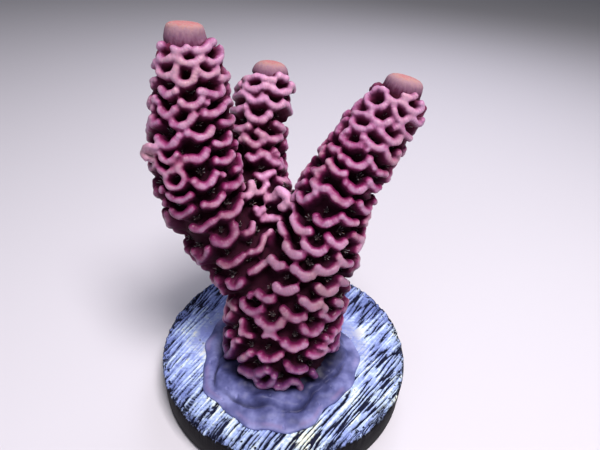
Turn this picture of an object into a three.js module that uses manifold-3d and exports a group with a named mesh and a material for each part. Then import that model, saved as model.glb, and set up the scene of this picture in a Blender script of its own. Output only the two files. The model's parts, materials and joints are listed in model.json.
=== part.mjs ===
// A finger of acropora coral with three branches, glued to a round grooved disc.
// Millimetres, +Z up. The origin is the centre of the disc's underside and the front of the coral faces -Y.
import * as THREE from "three";
import { mergeVertices } from "three/addons/utils/BufferGeometryUtils.js";
import Module from "manifold-3d";

const wasm = await Module();
wasm.setup();

// Driving dimensions of the disc
const disc = { radius: 12.7, thickness: 4, edge: 0.5, sides: 44 };
const groove = { angle: 57, pitch: 1.15, width: 0.45, depth: 0.4, shortest: 1.2 };
const grooveEnds = { rimGap: 0.35, underGlue: 0.6 };
const grooveUneven = { section: 0.5, offset: 0.35, end: 0.8 };

// Driving dimensions of the glue that holds the coral's foot
const glue = { x: -0.4, y: -2.2, radius: 8.15, height: 1.5, rimHeight: 0.55, sides: 24 };
const footGap = 0.35;

// The glue's section from the coral's foot to its outer edge: the share of the way out, and the height
const glueSection = [
  [0, 0],
  [1, 0],
  [1, glue.rimHeight * 0.6],
  [0.9, glue.rimHeight],
  [0.62, glue.height * 0.75],
  [0.3, glue.height],
  [0, glue.height],
];

// The lobes of the glue's edge: how far each swells, how many go around, and where they start
const glueLobes = [
  [0.035, 3, 0.6],
  [0.03, 5, 2.1],
  [0.02, 9, 0],
];
const glueHeave = { amount: 0.25, lobes: 3, start: 1 };

// The lips that cover the branches stand in rows. The height of a row goes by the core's radius.
const slimRow = { core: 2.1, height: 1.34 };
const stoutRow = { core: 4.9, height: 2.15 };
const lip = { reach: 0.9, droop: 0.33, thick: 0.42, thickest: 0.62, scoop: 0.2 };
const lipArm = { reach: 0.82, rise: 0.25, spread: 0.35, thick: 0.5 };
const lipUneven = { reach: 0.25, sway: 0.6, lift: 0.3 };
const lowestLip = disc.thickness + glue.height + 1.3;
const crownGap = 0.5;
const forkMargin = 0.85;
const minBare = 0.5;

// A lip needs room in front of it. With less it stays low, and with too little it doesn't stand out at all.
const room = { ahead: 1.2, full: 1.0, least: 0.35 };

const forkGap = 0.35;
const spineSteps = 200;
const columnsPerLip = 4;

// Each branch follows stations of its centre line, from the root to the tip: x, y, z and the core's radius.
// The last station is the top of the smooth cap that ends the branch, and the one before is the cap's base.
// Below the height of its fork a branch is part of the trunk.
const branches = [
  {
    name: "right_branch",
    fork: 19.2,
    lipsAround: { root: 10, finger: 7 },
    stations: [
      [-0.35, -1.0, disc.thickness, 5.1],
      [-0.35, -1.0, 8.5, 4.95],
      [0.6, -0.3, 12.5, 4.5],
      [2.1, 0.3, 16.3, 3.4],
      [3.0, 0.8, 19.0, 2.8],
      [3.8, 1.2, 22.0, 2.55],
      [5.2, 1.6, 25.0, 2.25],
      [6.6, 2.1, 27.7, 2.0],
      [7.75, 2.6, 29.5, 1.85],
      [8.3, 2.8, 30.6, 1.6],
      [8.6, 3.0, 31.95, 1.35],
    ],
  },
  {
    name: "left_branch",
    fork: 21.4,
    lipsAround: { root: 7, finger: 7 },
    stations: [
      [-0.8, -0.4, 9.0, 3.6],
      [-2.6, -0.1, 12.6, 3.5],
      [-5.2, 0.2, 16.3, 3.0],
      [-7.3, 0.4, 20.0, 2.75],
      [-8.1, 0.8, 23.6, 2.9],
      [-8.3, 1.1, 27.0, 2.55],
      [-8.2, 1.5, 30.5, 2.15],
      [-8.25, 1.8, 33.5, 1.65],
      [-8.2, 2.0, 35.2, 1.35],
    ],
  },
  {
    name: "middle_branch",
    fork: 21.6,
    lipsAround: { root: 5, finger: 6 },
    stations: [
      [-0.4, 0.6, 9.5, 3.0],
      [-1.3, 2.2, 13.8, 2.7],
      [-2.6, 4.1, 18.2, 2.15],
      [-3.5, 5.7, 21.4, 2.0],
      [-3.5, 7.1, 24.7, 1.95],
      [-3.1, 7.9, 27.5, 1.85],
      [-2.7, 8.35, 29.4, 1.55],
      [-2.6, 8.6, 30.9, 1.3],
    ],
  },
];

// A cap's rings from its base to its flat top: the share of the way up, and the share of the cap's radius
const capRings = [
  [0.55, 1.1],
  [0.86, 0.94],
  [1, 0.6],
];

const tissue = () => new THREE.MeshStandardMaterial({ color: "#c07f96", roughness: 0.45, metalness: 0 });
const putty = () => new THREE.MeshStandardMaterial({ color: "#7472a8", roughness: 0.5, metalness: 0 });
const chalk = () => new THREE.MeshStandardMaterial({ color: "#a9b0d8", roughness: 0.8, metalness: 0 });

// A repeatable uneven number from -0.5 to 0.5
function uneven(seed) {
  const value = Math.sin(seed * 12.9898) * 43758.5453;
  return value - Math.floor(value) - 0.5;
}

const blend = (from, to, share) => from + (to - from) * share;
const clampShare = (value) => Math.min(1, Math.max(0, value));

function solidOf(geometry) {
  const bare = new THREE.BufferGeometry();
  bare.setAttribute("position", geometry.getAttribute("position").clone());
  bare.setIndex(geometry.index ? geometry.index.clone() : null);
  const merged = mergeVertices(bare, 1e-4);
  const vertProperties = new Float32Array(merged.getAttribute("position").array);
  const triVerts = new Uint32Array(merged.index.array);
  return new wasm.Manifold(new wasm.Mesh({ numProp: 3, vertProperties, triVerts }));
}

function meshOf(solid, name, material) {
  const { vertProperties, triVerts } = solid.getMesh();
  const geometry = new THREE.BufferGeometry();
  geometry.setAttribute("position", new THREE.BufferAttribute(vertProperties, 3));
  geometry.setIndex(new THREE.BufferAttribute(triVerts, 1));
  geometry.computeVertexNormals();
  const mesh = new THREE.Mesh(geometry, material);
  mesh.name = name;
  return mesh;
}

// The disc: a turned blank with a broken upper edge, and straight grooves combed across its face

function makeDisc() {
  const { radius, thickness, edge } = disc;
  const profile = [
    [0, 0],
    [radius, 0],
    [radius, thickness - edge],
    [radius - edge, thickness],
    [0, thickness],
  ].map(([r, z]) => new THREE.Vector2(r, z));
  const blank = new THREE.LatheGeometry(profile, disc.sides).rotateX(Math.PI / 2);
  return solidOf(blank).subtract(wasm.Manifold.union(grooveCutters()));
}

// A groove is a wedge with its edge down, laid along the comb's direction from one distance to another
function grooveCutter(offset, from, to, seed) {
  const half = (groove.width / 2) * (1 + grooveUneven.section * uneven(seed));
  const deep = groove.depth * (1 + grooveUneven.section * uneven(seed + 1));
  const section = new THREE.Shape();
  section.moveTo(-half, deep);
  section.lineTo(0, -deep);
  section.lineTo(half, deep);
  const wedge = new THREE.ExtrudeGeometry(section, { depth: to - from, bevelEnabled: false });
  wedge.rotateX(Math.PI / 2).rotateZ(Math.PI / 2);
  wedge.translate(from, offset, disc.thickness);
  wedge.rotateZ(THREE.MathUtils.degToRad(groove.angle));
  return solidOf(wedge);
}

const halfChord = (radius, offset) => Math.sqrt(Math.max(0, radius ** 2 - offset ** 2));

// Each line of the comb is broken where the glue lies on it
function grooveCutters() {
  const cutters = [];
  const lines = Math.floor((2 * disc.radius) / groove.pitch);
  const turn = THREE.MathUtils.degToRad(groove.angle);
  const glueAlong = glue.x * Math.cos(turn) + glue.y * Math.sin(turn);
  const glueAcross = glue.y * Math.cos(turn) - glue.x * Math.sin(turn);
  for (let i = 1; i < lines; i++) {
    const offset = -disc.radius + (i + grooveUneven.offset * uneven(i)) * groove.pitch;
    const reach = halfChord(disc.radius - disc.edge, offset) - grooveEnds.rimGap;
    const covered = halfChord(glue.radius - grooveEnds.underGlue, offset - glueAcross);
    const spans = [
      [-reach + grooveUneven.end * (uneven(i + 50) + 0.5), glueAlong - covered],
      [glueAlong + covered, reach - grooveUneven.end * (uneven(i + 70) + 0.5)],
    ];
    spans.forEach(([from, to], side) => {
      if (to - from > groove.shortest) cutters.push(grooveCutter(offset, from, to, 10 * i + side));
    });
  }
  return cutters;
}

// The glue: a low uneven mound, open in the middle where the coral's foot stands

function makeGlue() {
  const [footX, footY, , footRadius] = branches[0].stations[0];
  const hole = footRadius + footGap;
  const section = [...glueSection, glueSection[0]].map(([share, z]) => new THREE.Vector2(1 + share, z));
  const mound = new THREE.LatheGeometry(section, glue.sides).rotateX(Math.PI / 2);
  const place = mound.getAttribute("position");
  for (let i = 0; i < place.count; i++) {
    const angle = Math.atan2(place.getY(i), place.getX(i));
    const share = Math.hypot(place.getX(i), place.getY(i)) - 1;
    const swells = glueLobes.map(([amount, lobes, start]) => amount * Math.sin(lobes * angle + start));
    const edge = glue.radius * swells.reduce((sum, swell) => sum + swell, 1);
    const heave = 1 + glueHeave.amount * Math.sin(glueHeave.lobes * angle + glueHeave.start) * share;
    const inner = new THREE.Vector2(footX + hole * Math.cos(angle), footY + hole * Math.sin(angle));
    const outer = new THREE.Vector2(glue.x + edge * Math.cos(angle), glue.y + edge * Math.sin(angle));
    const at = inner.lerp(outer, share);
    place.setXYZ(i, at.x, at.y, disc.thickness + place.getZ(i) * heave);
  }
  return solidOf(mound);
}

// The coral: bent tapering cores with lips in staggered rows, parted where the branches fork

function prepareBranch(branch, index) {
  const points = branch.stations.map(([x, y, z]) => new THREE.Vector3(x, y, z));
  branch.seed = 1000 * (index + 1);
  branch.curve = new THREE.CatmullRomCurve3(points, false, "catmullrom", 0.5);
  branch.curve.arcLengthDivisions = spineSteps;
  branch.lengths = branch.curve.getLengths(spineSteps);
  branch.spine = branch.lengths.map((distance) => stationAt(branch, distance));
}

// The centre line at a distance from the root, with the directions along it, to the front and to the side
function stationAt(branch, distance) {
  const share = clampShare(branch.curve.getUtoTmapping(0, distance));
  const last = branch.stations.length - 1;
  const step = Math.min(last - 1, Math.floor(share * last));
  const radius = blend(branch.stations[step][3], branch.stations[step + 1][3], share * last - step);
  const along = branch.curve.getTangent(share);
  const front = new THREE.Vector3(0, -1, 0).addScaledVector(along, along.y).normalize();
  const side = new THREE.Vector3().crossVectors(along, front);
  return { centre: branch.curve.getPoint(share), radius, along, front, side };
}

// A point at an angle around the centre line, counted from the front, at a distance out from it
function pointAround(station, angle, out) {
  const point = station.centre.clone().addScaledVector(station.front, out * Math.cos(angle));
  return point.addScaledVector(station.side, out * Math.sin(angle));
}

const distanceAtHeight = (branch, z) => branch.lengths[branch.spine.findIndex((s) => s.centre.z >= z)];

const capBase = (branch) => branch.lengths[Math.round(spineSteps * (1 - 1 / (branch.stations.length - 1)))];

// How far a point lies outside the core of a branch
const outsideCore = (branch, point) =>
  Math.min(...branch.spine.map((s) => s.centre.distanceTo(point) - s.radius));

function rowHeight(branch, distance) {
  const girth = stationAt(branch, distance).radius;
  const share = clampShare((girth - slimRow.core) / (stoutRow.core - slimRow.core));
  return blend(slimRow.height, stoutRow.height, share);
}

// The distances of the rows of lips between two ends, a little stretched or drawn in to fit between them
function rowDistances(branch, from, to) {
  const distances = [from];
  let next = from + rowHeight(branch, from);
  while (next < to + slimRow.height / 2) {
    distances.push(next);
    next += rowHeight(branch, next);
  }
  const fit = (to - from) / (distances.at(-1) - from);
  return distances.map((distance) => from + (distance - from) * fit);
}

// The lips of one row, each with its own reach and its own small shift around and along the branch
function growRow(branch, distance, height, number, count) {
  const station = stationAt(branch, distance);
  const others = branches.filter((other) => other !== branch);
  return Array.from({ length: count }, (_, k) => {
    const seed = branch.seed + 50 * number + k;
    const angle = ((k + 0.5 * (number % 2)) / count) * 2 * Math.PI;
    const tip = pointAround(station, angle, station.radius + room.ahead);
    const clear = Math.min(...others.map((other) => outsideCore(other, tip)));
    const size = clampShare((clear - room.least) / (room.full - room.least));
    return {
      reach: lip.reach * size * (1 + lipUneven.reach * uneven(seed)),
      sway: lipUneven.sway * uneven(seed + 0.3),
      lift: lipUneven.lift * height * uneven(seed + 0.6),
    };
  });
}

function growRows(branch, from, to, count) {
  return rowDistances(branch, from, to).map((distance, number) => {
    const height = rowHeight(branch, distance);
    return { distance, height, number, lips: growRow(branch, distance, height, number, count) };
  });
}

// The three rings of a row of lips: the edge under a lip, the edge over it and the scoop behind it.
// A lip takes four columns of the net: its middle, an arm on each side, and the gap to the next lip.
function rowRings({ distance, height, number, lips }) {
  const gapColumn = columnsPerLip / 2;
  const thick = Math.min(lip.thick * height, lip.thickest);
  const levels = [
    { reach: 1, up: 0, gapUp: 0 },
    { reach: 0.95, up: thick, gapUp: 0.2 * height },
    { reach: -0.1, up: thick + lip.scoop, gapUp: 0.4 * height },
  ];
  return levels.map(({ reach, up, gapUp }) => (column) => {
    const turned = column + columnsPerLip * lips.length - gapColumn * (number % 2);
    const part = turned % columnsPerLip;
    if (part === gapColumn) return { out: 0, distance: distance + gapUp, column };
    const own = lips[Math.round(turned / columnsPerLip) % lips.length];
    const level = distance + own.lift;
    const here = column + own.sway;
    const out = own.reach * reach;
    if (part === 0) return { out, distance: level + up - lip.droop * height, column: here };
    const spread = part < gapColumn ? lipArm.spread : -lipArm.spread;
    const armUp = lipArm.rise * height + lipArm.thick * up;
    return { out: out * lipArm.reach, distance: level + armUp, column: here + spread };
  });
}

// A closed net around the centre line: flat ends or a rounded cap, and rows of lips between them
function makeLength(branch, from, to, rows, count, capped) {
  const columns = count * columnsPerLip;
  const plainRing = (distance, radius) => (column) => ({ radius, distance, column });
  const coreRing = (distance) => plainRing(distance, stationAt(branch, distance).radius);
  const bareTo = rows[0].distance - rows[0].height / 2;
  const rings = [plainRing(from, 0), coreRing(from)];
  if (bareTo > from + minBare) rings.push(coreRing(bareTo));
  rings.push(...rows.flatMap(rowRings));
  if (capped) {
    const base = capBase(branch);
    const capRadius = branch.stations.at(-1)[3];
    rings.push(coreRing(base));
    capRings.forEach(([up, wide]) => rings.push(plainRing(blend(base, to, up), wide * capRadius)));
  } else {
    rings.push(coreRing(to));
  }
  rings.push(plainRing(to, 0));
  const net = new THREE.LatheGeometry(
    rings.map((_, i) => new THREE.Vector2(1, i)),
    columns,
  );
  const place = net.getAttribute("position");
  for (let i = 0; i < place.count; i++) {
    const ring = rings[i % rings.length];
    const { radius, out, distance, column } = ring(Math.floor(i / rings.length) % columns);
    const station = stationAt(branch, distance);
    const point = pointAround(station, (column / columns) * 2 * Math.PI, radius ?? station.radius + out);
    place.setXYZ(i, point.x, point.y, Math.max(point.z, disc.thickness));
  }
  return solidOf(net);
}

branches.forEach(prepareBranch);

const coral = new THREE.Group();
const roots = [];
for (const branch of branches) {
  const { root, finger } = branch.lipsAround;
  const fork = distanceAtHeight(branch, branch.fork);
  const low = fork - forkGap / 2;
  const high = fork + forkGap / 2;
  const tip = branch.lengths.at(-1);
  const start = branch.spine[0].centre.z > lowestLip ? slimRow.height : distanceAtHeight(branch, lowestLip);
  const rootRows = growRows(branch, start, low - forkMargin, root);
  const fingerRows = growRows(branch, high + slimRow.height / 2, capBase(branch) - crownGap, finger);
  roots.push(makeLength(branch, 0, low, rootRows, root, false));
  const length = makeLength(branch, high, tip, fingerRows, finger, true);
  coral.add(meshOf(length, branch.name, tissue()));
}
coral.add(meshOf(wasm.Manifold.union(roots), "coral_trunk", tissue()));

const frag = new THREE.Group();
frag.add(meshOf(makeDisc(), "frag_disc", chalk()));
frag.add(meshOf(makeGlue(), "glue_collar", putty()));
frag.add(coral);

export default frag;
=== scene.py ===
import json
import math
import bmesh
import bpy
import numpy as np
from mathutils import Matrix, Vector, noise
from mathutils.kdtree import KDTree

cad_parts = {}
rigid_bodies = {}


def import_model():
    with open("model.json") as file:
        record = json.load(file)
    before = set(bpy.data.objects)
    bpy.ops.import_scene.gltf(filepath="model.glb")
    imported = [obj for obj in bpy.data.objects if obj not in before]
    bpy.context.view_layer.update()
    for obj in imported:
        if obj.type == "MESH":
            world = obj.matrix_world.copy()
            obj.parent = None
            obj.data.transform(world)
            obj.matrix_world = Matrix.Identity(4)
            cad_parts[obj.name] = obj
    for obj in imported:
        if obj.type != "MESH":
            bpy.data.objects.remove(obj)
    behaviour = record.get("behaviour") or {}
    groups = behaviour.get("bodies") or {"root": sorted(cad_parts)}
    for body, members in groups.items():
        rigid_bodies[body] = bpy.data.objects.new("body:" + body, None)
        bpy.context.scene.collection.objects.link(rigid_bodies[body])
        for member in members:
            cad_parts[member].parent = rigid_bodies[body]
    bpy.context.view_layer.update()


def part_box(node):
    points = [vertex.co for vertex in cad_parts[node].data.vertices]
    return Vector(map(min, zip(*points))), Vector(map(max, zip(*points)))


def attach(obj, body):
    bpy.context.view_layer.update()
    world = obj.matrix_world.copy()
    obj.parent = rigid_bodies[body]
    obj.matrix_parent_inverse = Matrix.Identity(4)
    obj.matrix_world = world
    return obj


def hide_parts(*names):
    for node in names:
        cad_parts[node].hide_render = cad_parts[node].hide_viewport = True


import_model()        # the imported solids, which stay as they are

toMetre = 0.001                      # pieces are shaped in millimetres and end in metres
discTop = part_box("frag_disc")[1].z / toMetre
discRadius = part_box("frag_disc")[1].x / toMetre


# Small helpers

def letGo():
    if bpy.context.object and bpy.context.object.mode != "OBJECT":
        bpy.ops.object.mode_set(mode="OBJECT")
    bpy.ops.object.select_all(action="DESELECT")


def takeUp(piece, *others):
    letGo()
    for each in (piece, *others):
        each.select_set(True)
    bpy.context.view_layer.objects.active = piece


def settlePlace():        # moves the place of what is taken up into its mesh
    bpy.ops.object.transform_apply(location=True, rotation=True, scale=True)


def newPiece(name):        # names a primitive that was just added
    piece = bpy.context.object
    piece.name = name
    settlePlace()
    return piece


def joined(piece, *others):
    takeUp(piece, *others)
    bpy.ops.object.join()
    return piece


def addModifier(piece, kind, **settings):
    takeUp(piece)
    bpy.ops.object.modifier_add(type=kind)
    modifier = piece.modifiers[-1]
    for name, value in settings.items():
        setattr(modifier, name, value)
    bpy.ops.object.modifier_apply(modifier=modifier.name)


def uneven(seed):        # repeatable, from -0.5 to 0.5
    value = math.sin(seed * 12.9898) * 43758.5453
    return value - math.floor(value) - 0.5


def easeIn(low, high, values):        # 0 below low, 1 above high, smooth between
    share = np.clip((np.asarray(values) - low) / (high - low), 0, 1)
    return share * share * (3 - 2 * share)


def bend(a, b, c, d, t):        # a smooth way from b to c, with a before them and d after
    return b + 0.5 * t * (c - a + t * (2 * a - 5 * b + 4 * c - d + t * (3 * b - a - 3 * c + d)))


def cloud(places, size, seed):        # soft noise over places, from about -1 to 1
    return np.array([noise.noise((x / size + seed, y / size, z / size)) for x, y, z in places])


def verticesOf(piece, what="co"):
    values = np.empty(len(piece.data.vertices) * 3)
    piece.data.vertices.foreach_get(what, values)
    return values.reshape(-1, 3)


def moveVertices(piece, places):
    piece.data.vertices.foreach_set("co", np.ascontiguousarray(places, float).ravel())
    piece.data.update()


def paint(piece, name, values):        # a number on every vertex that the materials read
    layer = piece.data.attributes.new(name, "FLOAT", "POINT")
    layer.data.foreach_set("value", np.ascontiguousarray(values, np.float32))


def toLinear(code):        # sRGB hex to linear colour
    parts = [int(code[i:i + 2], 16) / 255 for i in (1, 3, 5)]
    return [p / 12.92 if p <= 0.04045 else ((p + 0.055) / 1.055) ** 2.4 for p in parts] + [1.0]


def perMetre(size):        # a pattern's scale, from its real size in millimetres
    return 1 / (size * toMetre)


def setInputs(node, inputs):        # a value is set on its socket, a socket is linked to it
    for name, value in inputs.items():
        if isinstance(value, bpy.types.NodeSocket):
            node.id_data.links.new(value, node.inputs[name])
        else:
            node.inputs[name].default_value = value


def addNode(tree, kind, inputs=None, **settings):        # returns the node's main output
    made = tree.nodes.new(kind)
    for name, value in settings.items():
        setattr(made, name, value)
    setInputs(made, inputs or {})
    named = [made.outputs[name] for name in ("Fac", "Object") if name in made.outputs]
    return (named or [socket for socket in made.outputs if socket.enabled])[0]


def setStops(ramp, stops):        # stops: place and hex colour
    elements = ramp.node.color_ramp.elements
    while len(elements) < len(stops):
        elements.new(0.5)
    for element, (place, code) in zip(elements, stops):
        element.position = place
        element.color = toLinear(code)


def newMaterial(name):
    material = bpy.data.materials.new(name)
    material.use_nodes = True
    return material, material.node_tree, material.node_tree.nodes["Principled BSDF"]


def finishPiece(piece, name, material, node):
    takeUp(piece)
    bpy.ops.transform.resize(value=(toMetre,) * 3, center_override=(0, 0, 0))
    settlePlace()
    bpy.ops.object.shade_smooth()
    piece.name = name
    piece.data.name = name
    piece.data.materials.clear()
    piece.data.materials.append(material)
    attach(piece, "root")
    if node:
        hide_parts(node)


# The view: the picture's camera, which also places the lips that the picture shows

view = {"place": (0.0, -33.64, 43.06), "down": 35.21, "right": 1.34, "roll": 3.71, "lens": 28,
        "sensor": 36, "width": 600, "height": 450, "nearest": 1.0}
focal = view["lens"] / view["sensor"] * view["width"]        # in pixels
down, right, roll = (math.radians(view[key]) for key in ("down", "right", "roll"))
eyePlace = Vector(view["place"])
ahead = Vector((math.sin(right) * math.cos(down), math.cos(right) * math.cos(down), -math.sin(down)))
level = Vector((math.cos(right), -math.sin(right), 0))
over = level.cross(ahead)
across = level * math.cos(roll) + over * math.sin(roll)
upward = over * math.cos(roll) - level * math.sin(roll)


def pixelRay(x, y):
    sideways = across * ((x - view["width"] / 2) / focal)
    return (ahead + sideways + upward * ((view["height"] / 2 - y) / focal)).normalized()


# The coral's centre lines, from root to tip: x, y, z and the core's radius, in millimetres
# A cap has shares of the way up and of its radius

spineSteps = 240
# paler: painted light near the tips, most on the middle finger, which the lamps leave dim
branches = {
    "right": {
        "fork": 19.2, "rootLips": 11, "fingerLips": 7, "seed": 1000, "paler": 0.2, "capShift": -0.15,
        "stations": [
            (-0.35, -1.0, 4.0, 5.1), (-0.35, -1.0, 8.5, 4.95), (0.6, -0.3, 12.5, 4.5),
            (2.1, 0.3, 16.3, 3.4), (3.0, 0.8, 19.0, 2.8), (3.8, 1.2, 22.0, 2.55), (5.2, 1.6, 25.0, 2.25),
            (6.6, 2.1, 27.7, 2.0), (7.75, 2.6, 29.5, 1.85), (8.3, 2.8, 30.6, 1.6), (8.6, 3.0, 31.95, 1.35)],
        "cap": ((0.0, 1.18), (0.35, 1.17), (0.65, 1.12), (0.82, 1.02), (0.93, 0.84), (1.0, 0.56)),
    },
    "left": {
        "fork": 21.4, "rootLips": 8, "fingerLips": 7, "seed": 2000, "paler": 0.0, "capShift": -0.17,
        "stations": [
            (-0.6, -0.5, 9.0, 3.3), (-2.2, -0.2, 12.7, 3.1), (-5.0, 0.2, 16.4, 2.65),
            (-7.3, 0.4, 20.0, 2.75), (-8.1, 0.8, 23.6, 2.9), (-8.3, 1.1, 27.0, 2.55),
            (-8.2, 1.5, 30.5, 2.15), (-8.25, 1.8, 33.5, 1.65), (-8.2, 2.0, 35.2, 1.35)],
        "cap": ((0.0, 1.24), (0.4, 1.15), (0.7, 1.07), (0.87, 0.99), (0.95, 0.87), (1.0, 0.64)),
    },
    "middle": {
        "fork": 21.6, "rootLips": 6, "fingerLips": 6, "seed": 3000, "paler": 0.8, "capShift": 0.08,
        "stations": [
            (-0.4, 0.6, 9.5, 3.0), (-1.3, 2.2, 13.8, 2.7), (-2.6, 4.1, 18.2, 2.15), (-3.5, 5.7, 21.4, 2.0),
            (-3.5, 7.1, 24.7, 1.95), (-3.1, 7.9, 27.5, 1.85), (-2.7, 8.35, 29.4, 1.55),
            (-2.6, 8.6, 30.9, 1.3)],
        "cap": ((0.0, 1.32), (0.3, 1.29), (0.6, 1.18), (0.8, 1.02), (0.93, 0.76), (1.0, 0.46)),
    },
}
webs = {        # what fills the two forks behind the front branches
    "rightFork": ((-0.3, 2.0, 14.5, 2.1), (0.1, 2.6, 17.5, 1.8), (0.3, 2.8, 19.4, 1.5),
                  (0.35, 2.85, 20.3, 0.9)),
    "leftFork": ((-3.2, 1.4, 14.5, 2.1), (-4.6, 2.5, 18.5, 1.9), (-4.9, 3.0, 20.6, 1.6),
                 (-5.0, 3.2, 21.6, 1.0)),
}


def layOutSpine(stations):        # a smooth line through the stations, as a table of places along it
    points = np.array([s[:3] for s in stations], float)
    girths = np.array([s[3] for s in stations], float)
    ring = np.vstack([2 * points[0] - points[1], points, 2 * points[-1] - points[-2]])
    shares = np.linspace(0, len(points) - 1, spineSteps + 1)
    step = np.minimum(shares.astype(int), len(points) - 2)
    t = (shares - step)[:, None]
    centre = bend(ring[step], ring[step + 1], ring[step + 2], ring[step + 3], t)
    along = np.gradient(centre, axis=0)
    along /= np.linalg.norm(along, axis=1)[:, None]
    travel = np.concatenate([[0], np.cumsum(np.linalg.norm(np.diff(centre, axis=0), axis=1))])
    return {
        "centre": centre, "along": along, "travel": travel,
        "radius": girths[step] + (girths[step + 1] - girths[step]) * t[:, 0],
        "capStart": float(np.interp(len(points) - 2, shares, travel)), "capRadius": girths[-1],
    }


def stationAt(spine, travel):
    centre = [np.interp(travel, spine["travel"], column) for column in spine["centre"].T]
    along = Vector([np.interp(travel, spine["travel"], column) for column in spine["along"].T]).normalized()
    front = Vector((0, -1, 0))
    front = (front - along * front.dot(along)).normalized()
    return {"centre": Vector(centre), "along": along, "front": front, "side": along.cross(front),
            "radius": float(np.interp(travel, spine["travel"], spine["radius"]))}


def outsideCore(spine, places):        # how far places lie outside a core
    near = np.full(len(places), 1e9)
    for centre, radius in zip(spine["centre"][::2], spine["radius"][::2]):
        near = np.minimum(near, np.linalg.norm(places - centre, axis=1) - radius)
    return near


def nearestCore(names, place):        # the gap to the nearest core, its branch and the step on its spine
    found = None
    for name in names:
        spine = spines[name]
        gaps = np.linalg.norm(spine["centre"] - np.array(place), axis=1) - spine["radius"]
        step = int(gaps.argmin())
        if found is None or gaps[step] < found[0]:
            found = (float(gaps[step]), name, step)
    return found


sight = {"from": 20.0, "to": 80.0, "touch": 0.02, "leastStep": 0.03}        # along a ray, in millimetres


def castOn(names, x, y, lift):        # where a pixel's ray meets the branches, or passes nearest to them
    ray = pixelRay(x, y)
    travel, closest = sight["from"], (1e9, None)
    while travel < sight["to"]:
        place = eyePlace + ray * travel
        gap = nearestCore(names, place)[0] - lift
        if gap < closest[0]:
            closest = (gap, place)
        if gap < sight["touch"]:
            break
        travel += max(gap, sight["leastStep"])
    return closest[1]


def settle(names, place, lift):        # puts a place at a height above the nearest core
    name, step = nearestCore(names, place)[1:]
    spine = spines[name]
    centre, along = Vector(spine["centre"][step]), Vector(spine["along"][step])
    outward = place - centre
    outward = (outward - along * outward.dot(along)).normalized()
    height = (place - centre).dot(along)
    return {"place": centre + along * height + outward * (spine["radius"][step] + lift),
            "outward": outward, "along": along, "branch": name, "travel": spine["travel"][step]}


spines = {name: layOutSpine(stations) for name, stations in webs.items()}
for name, branch in branches.items():
    spine = layOutSpine(branch["stations"])
    spines[name] = branch["spine"] = spine
    branch["forkTravel"] = float(np.interp(branch["fork"], spine["centre"][:, 2], spine["travel"]))
    branch["tipTravel"] = float(spine["travel"][-1])
print("spines laid out")


# The lips that the picture shows: thickness and then the bends of each, in pixels of its 600 by 450 frame

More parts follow.
